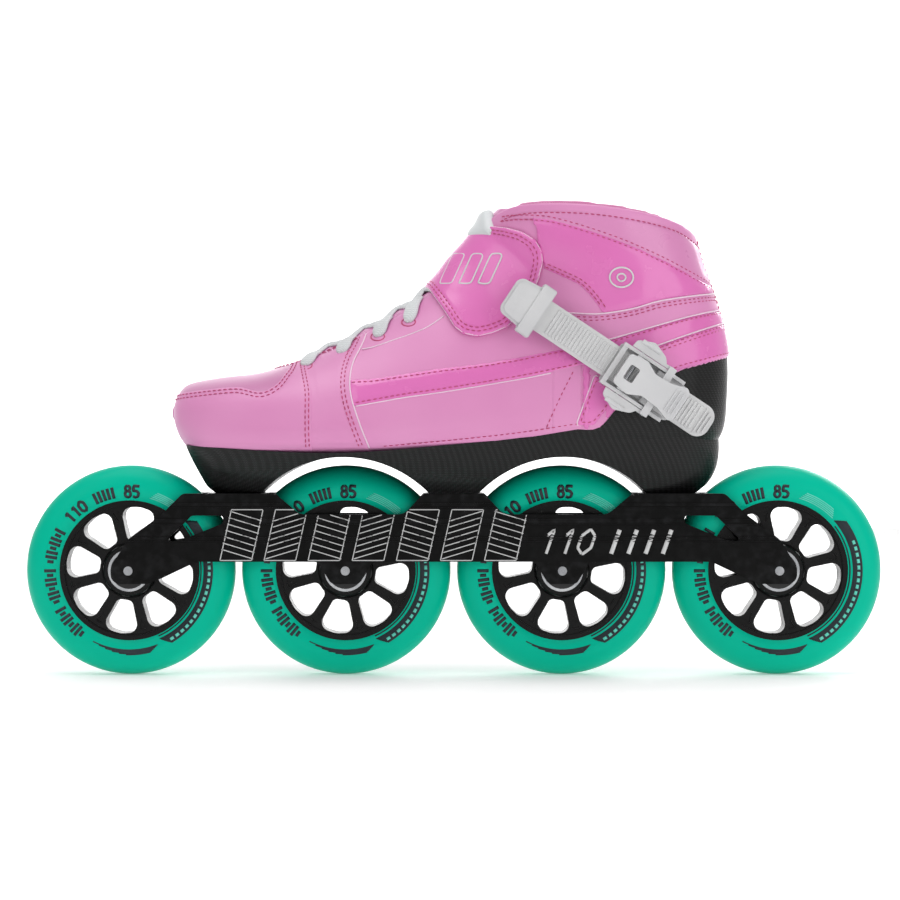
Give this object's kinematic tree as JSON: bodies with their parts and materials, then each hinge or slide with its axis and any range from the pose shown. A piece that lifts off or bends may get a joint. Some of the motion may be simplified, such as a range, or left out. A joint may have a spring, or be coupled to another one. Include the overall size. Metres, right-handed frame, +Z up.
{
  "type": "inline skate",
  "caption": "Inline speed skate: low-cut laced boot on a carbon base, with an ankle strap and ratchet buckle, over a long alloy frame with large in-line wheels.",
  "frame": {"origin": "on the ground under the middle of the wheelbase, in the plane of the wheels", "axes": "+X from toe to heel along the wheel line, +Y to the medial side, +Z up"},
  "size_m": [0.4498, 0.104, 0.2507],
  "materials": {
    "tyre": "satin poured urethane",
    "hub": "satin black glass-filled nylon",
    "bearing_steel": "ground and polished",
    "axle_steel": "satin",
    "frame_alloy": "satin black anodised",
    "carbon": "glossy woven carbon laminate",
    "insole_foam": "brushed foam footbed",
    "upper_pink": "light pink microfibre, satin",
    "gloss_pink": "bright pink patent, glossy",
    "lining": "darker pink padded lining",
    "lace": "off-white flat woven lace",
    "white_plastic": "satin white nylon",
    "buckle_steel": "bright plated"
  },
  "bodies": {
    "skate": {"frame": "frame_alloy", "mounting_bolts": "axle_steel", "mounting_washers": "axle_steel", "mounting_inserts": "axle_steel", "carbon_base": "carbon", "insole": "insole_foam", "toe_panel": "upper_pink", "forefoot_panel": "upper_pink", "lateral_quarter": "upper_pink", "medial_quarter": "upper_pink", "collar_lining": "lining", "tongue": "upper_pink", "laces": "lace", "lateral_gloss_stripe": "gloss_pink", "medial_gloss_stripe": "gloss_pink", "lateral_ankle_gloss": "gloss_pink", "medial_ankle_gloss": "gloss_pink", "ankle_strap": "gloss_pink", "buckle_base": "white_plastic", "buckle_rivets": "buckle_steel", "catch_spring": "buckle_steel", "lever_pin": "buckle_steel", "catch_pin": "buckle_steel", "bearing_inner_rings": "bearing_steel", "axle_spacers": "axle_steel", "axle_1": "axle_steel", "axle_2": "axle_steel", "axle_3": "axle_steel", "axle_4": "axle_steel"},
    "wheel_1": {"tyre_1": "tyre", "hub_1": "hub", "bearing_outer_rings_1": "bearing_steel", "bearing_shields_1": "bearing_steel"},
    "cage_1": {"bearing_balls_1": "bearing_steel", "bearing_cages_1": "bearing_steel"},
    "wheel_2": {"tyre_2": "tyre", "hub_2": "hub", "bearing_outer_rings_2": "bearing_steel", "bearing_shields_2": "bearing_steel"},
    "cage_2": {"bearing_balls_2": "bearing_steel", "bearing_cages_2": "bearing_steel"},
    "wheel_3": {"tyre_3": "tyre", "hub_3": "hub", "bearing_outer_rings_3": "bearing_steel", "bearing_shields_3": "bearing_steel"},
    "cage_3": {"bearing_balls_3": "bearing_steel", "bearing_cages_3": "bearing_steel"},
    "wheel_4": {"tyre_4": "tyre", "hub_4": "hub", "bearing_outer_rings_4": "bearing_steel", "bearing_shields_4": "bearing_steel"},
    "cage_4": {"bearing_balls_4": "bearing_steel", "bearing_cages_4": "bearing_steel"},
    "ladder": {"ladder_strap": "white_plastic", "strap_end_cap": "white_plastic", "cap_rivets": "buckle_steel"},
    "lever": {"buckle_lever": "white_plastic"},
    "catch": {"release_catch": "white_plastic"}
  },
  "joints": [
    {"name": "wheel_1_spin", "type": "hinge", "parent": "skate", "child": "wheel_1", "pos_m": [-0.16995, 0, 0.055], "axis": [0, 1, 0], "continuous": true},
    {"name": "wheel_2_spin", "type": "hinge", "parent": "skate", "child": "wheel_2", "pos_m": [-0.05665, 0, 0.055], "axis": [0, 1, 0], "continuous": true},
    {"name": "wheel_3_spin", "type": "hinge", "parent": "skate", "child": "wheel_3", "pos_m": [0.05665, 0, 0.055], "axis": [0, 1, 0], "continuous": true},
    {"name": "wheel_4_spin", "type": "hinge", "parent": "skate", "child": "wheel_4", "pos_m": [0.16995, 0, 0.055], "axis": [0, 1, 0], "continuous": true},
    {"name": "cage_1_spin", "type": "hinge", "parent": "skate", "child": "cage_1", "pos_m": [-0.16995, 0, 0.055], "axis": [0, 1, 0], "continuous": true},
    {"name": "cage_2_spin", "type": "hinge", "parent": "skate", "child": "cage_2", "pos_m": [-0.05665, 0, 0.055], "axis": [0, 1, 0], "continuous": true},
    {"name": "cage_3_spin", "type": "hinge", "parent": "skate", "child": "cage_3", "pos_m": [0.05665, 0, 0.055], "axis": [0, 1, 0], "continuous": true},
    {"name": "cage_4_spin", "type": "hinge", "parent": "skate", "child": "cage_4", "pos_m": [0.16995, 0, 0.055], "axis": [0, 1, 0], "continuous": true},
    {"name": "strap_loosen", "type": "slide", "parent": "skate", "child": "ladder", "axis": [-0.8327, -0.0523, 0.5512], "range_m": [0, 0.012], "deforming": ["ankle_strap"]},
    {"name": "lever_lift", "type": "hinge", "parent": "skate", "child": "lever", "pos_m": [0.08985, -0.04632, 0.15753], "axis": [-0.5519, 0, -0.8339], "range_deg": [0, 36], "stiffness_Nm_per_rad": 0.002, "springref_deg": -28.65},
    {"name": "catch_release", "type": "hinge", "parent": "skate", "child": "catch", "pos_m": [0.10366, -0.04515, 0.14839], "axis": [0.5519, 0, 0.8339], "range_deg": [0, 12], "stiffness_Nm_per_rad": 0.004, "springref_deg": -28.65}
  ],
  "couplings": [
    {"joint": "cage_1_spin", "follows": "wheel_1_spin", "ratio": 0.6323},
    {"joint": "cage_2_spin", "follows": "wheel_2_spin", "ratio": 0.6323},
    {"joint": "cage_3_spin", "follows": "wheel_3_spin", "ratio": 0.6323},
    {"joint": "cage_4_spin", "follows": "wheel_4_spin", "ratio": 0.6323}
  ]
}
